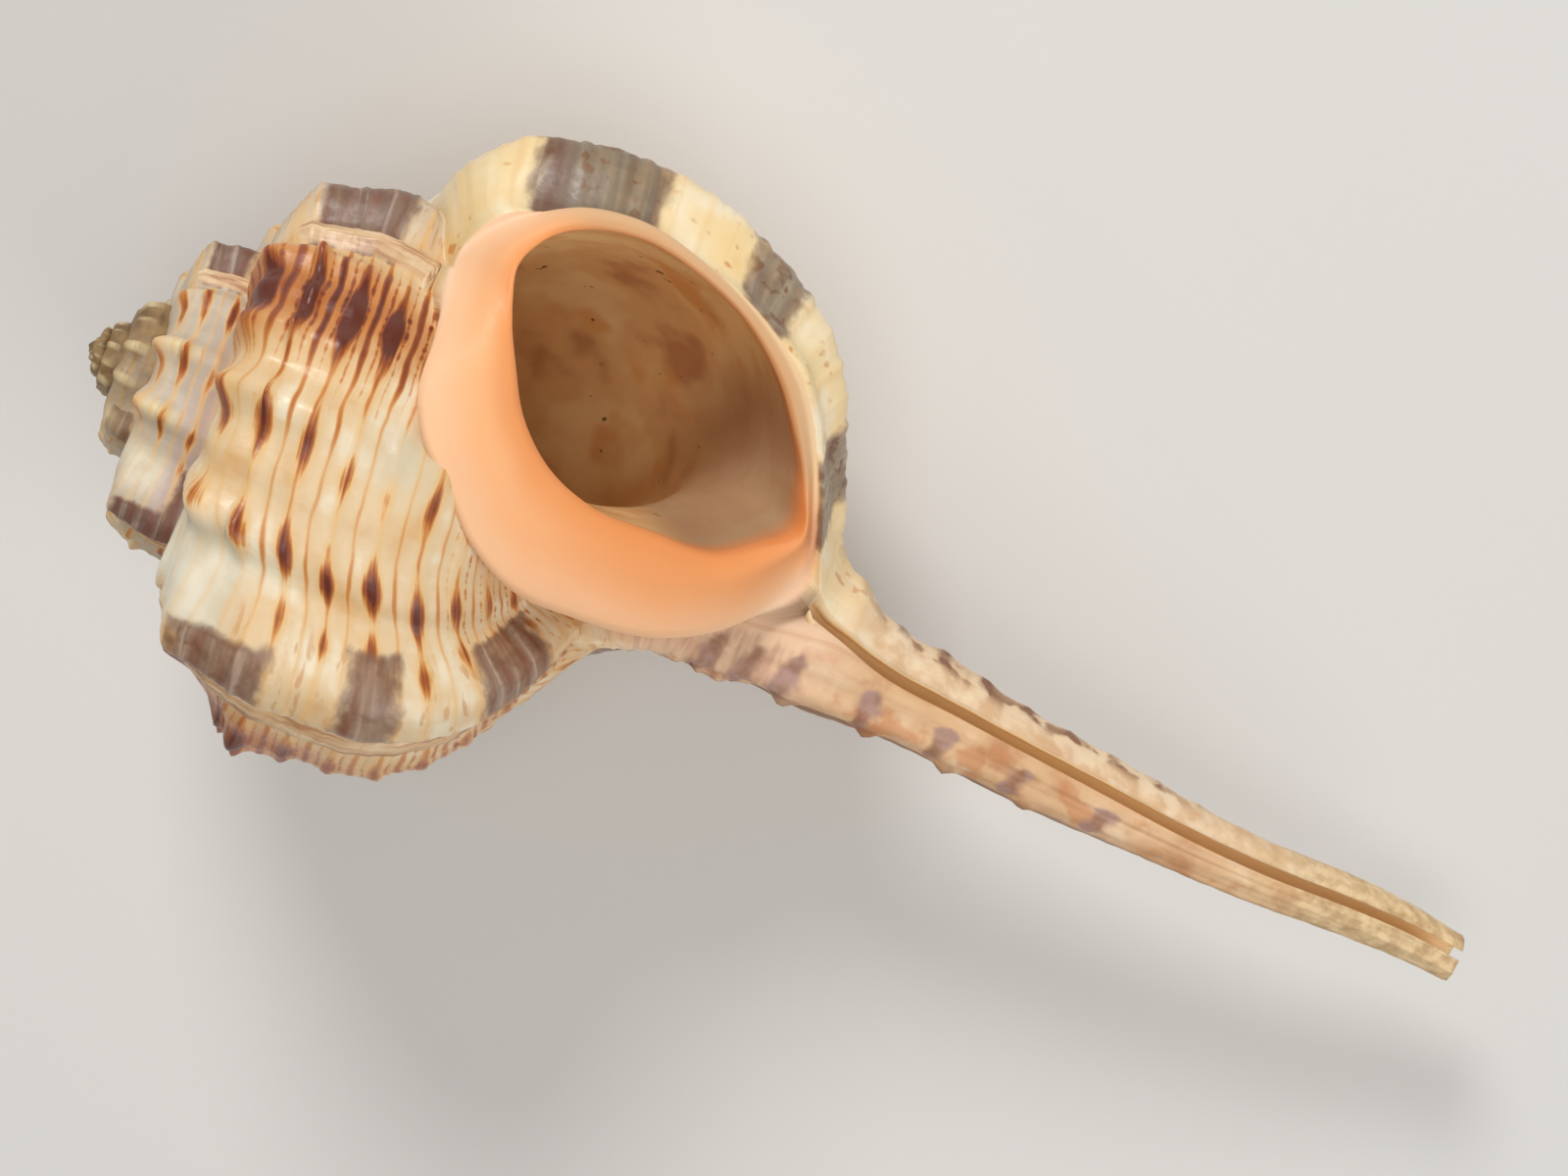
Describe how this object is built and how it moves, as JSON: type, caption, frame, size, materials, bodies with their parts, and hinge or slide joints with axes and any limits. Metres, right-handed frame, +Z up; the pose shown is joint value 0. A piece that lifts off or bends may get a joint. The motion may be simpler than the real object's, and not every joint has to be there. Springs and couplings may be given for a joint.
{
  "type": "murex shell",
  "caption": "Spiral sea-snail shell with thick ridges and ribs, a wide round mouth with a raised glossy rim, and a long thin slit canal.",
  "frame": {"origin": "middle of the bounding box at its lowest point, where the shell lies on a table on its back with its mouth up", "axes": "+X along the shell to the tip of the canal, +Y to the outer lip, +Z up out of the mouth"},
  "size_m": [0.1204, 0.0562, 0.0495],
  "materials": {
    "shell_wall": "limy shell, satin outside with worn ridges, glossy on the rim of the mouth"
  },
  "bodies": {
    "root": {"murex_shell": "shell_wall"}
  },
  "joints": []
}
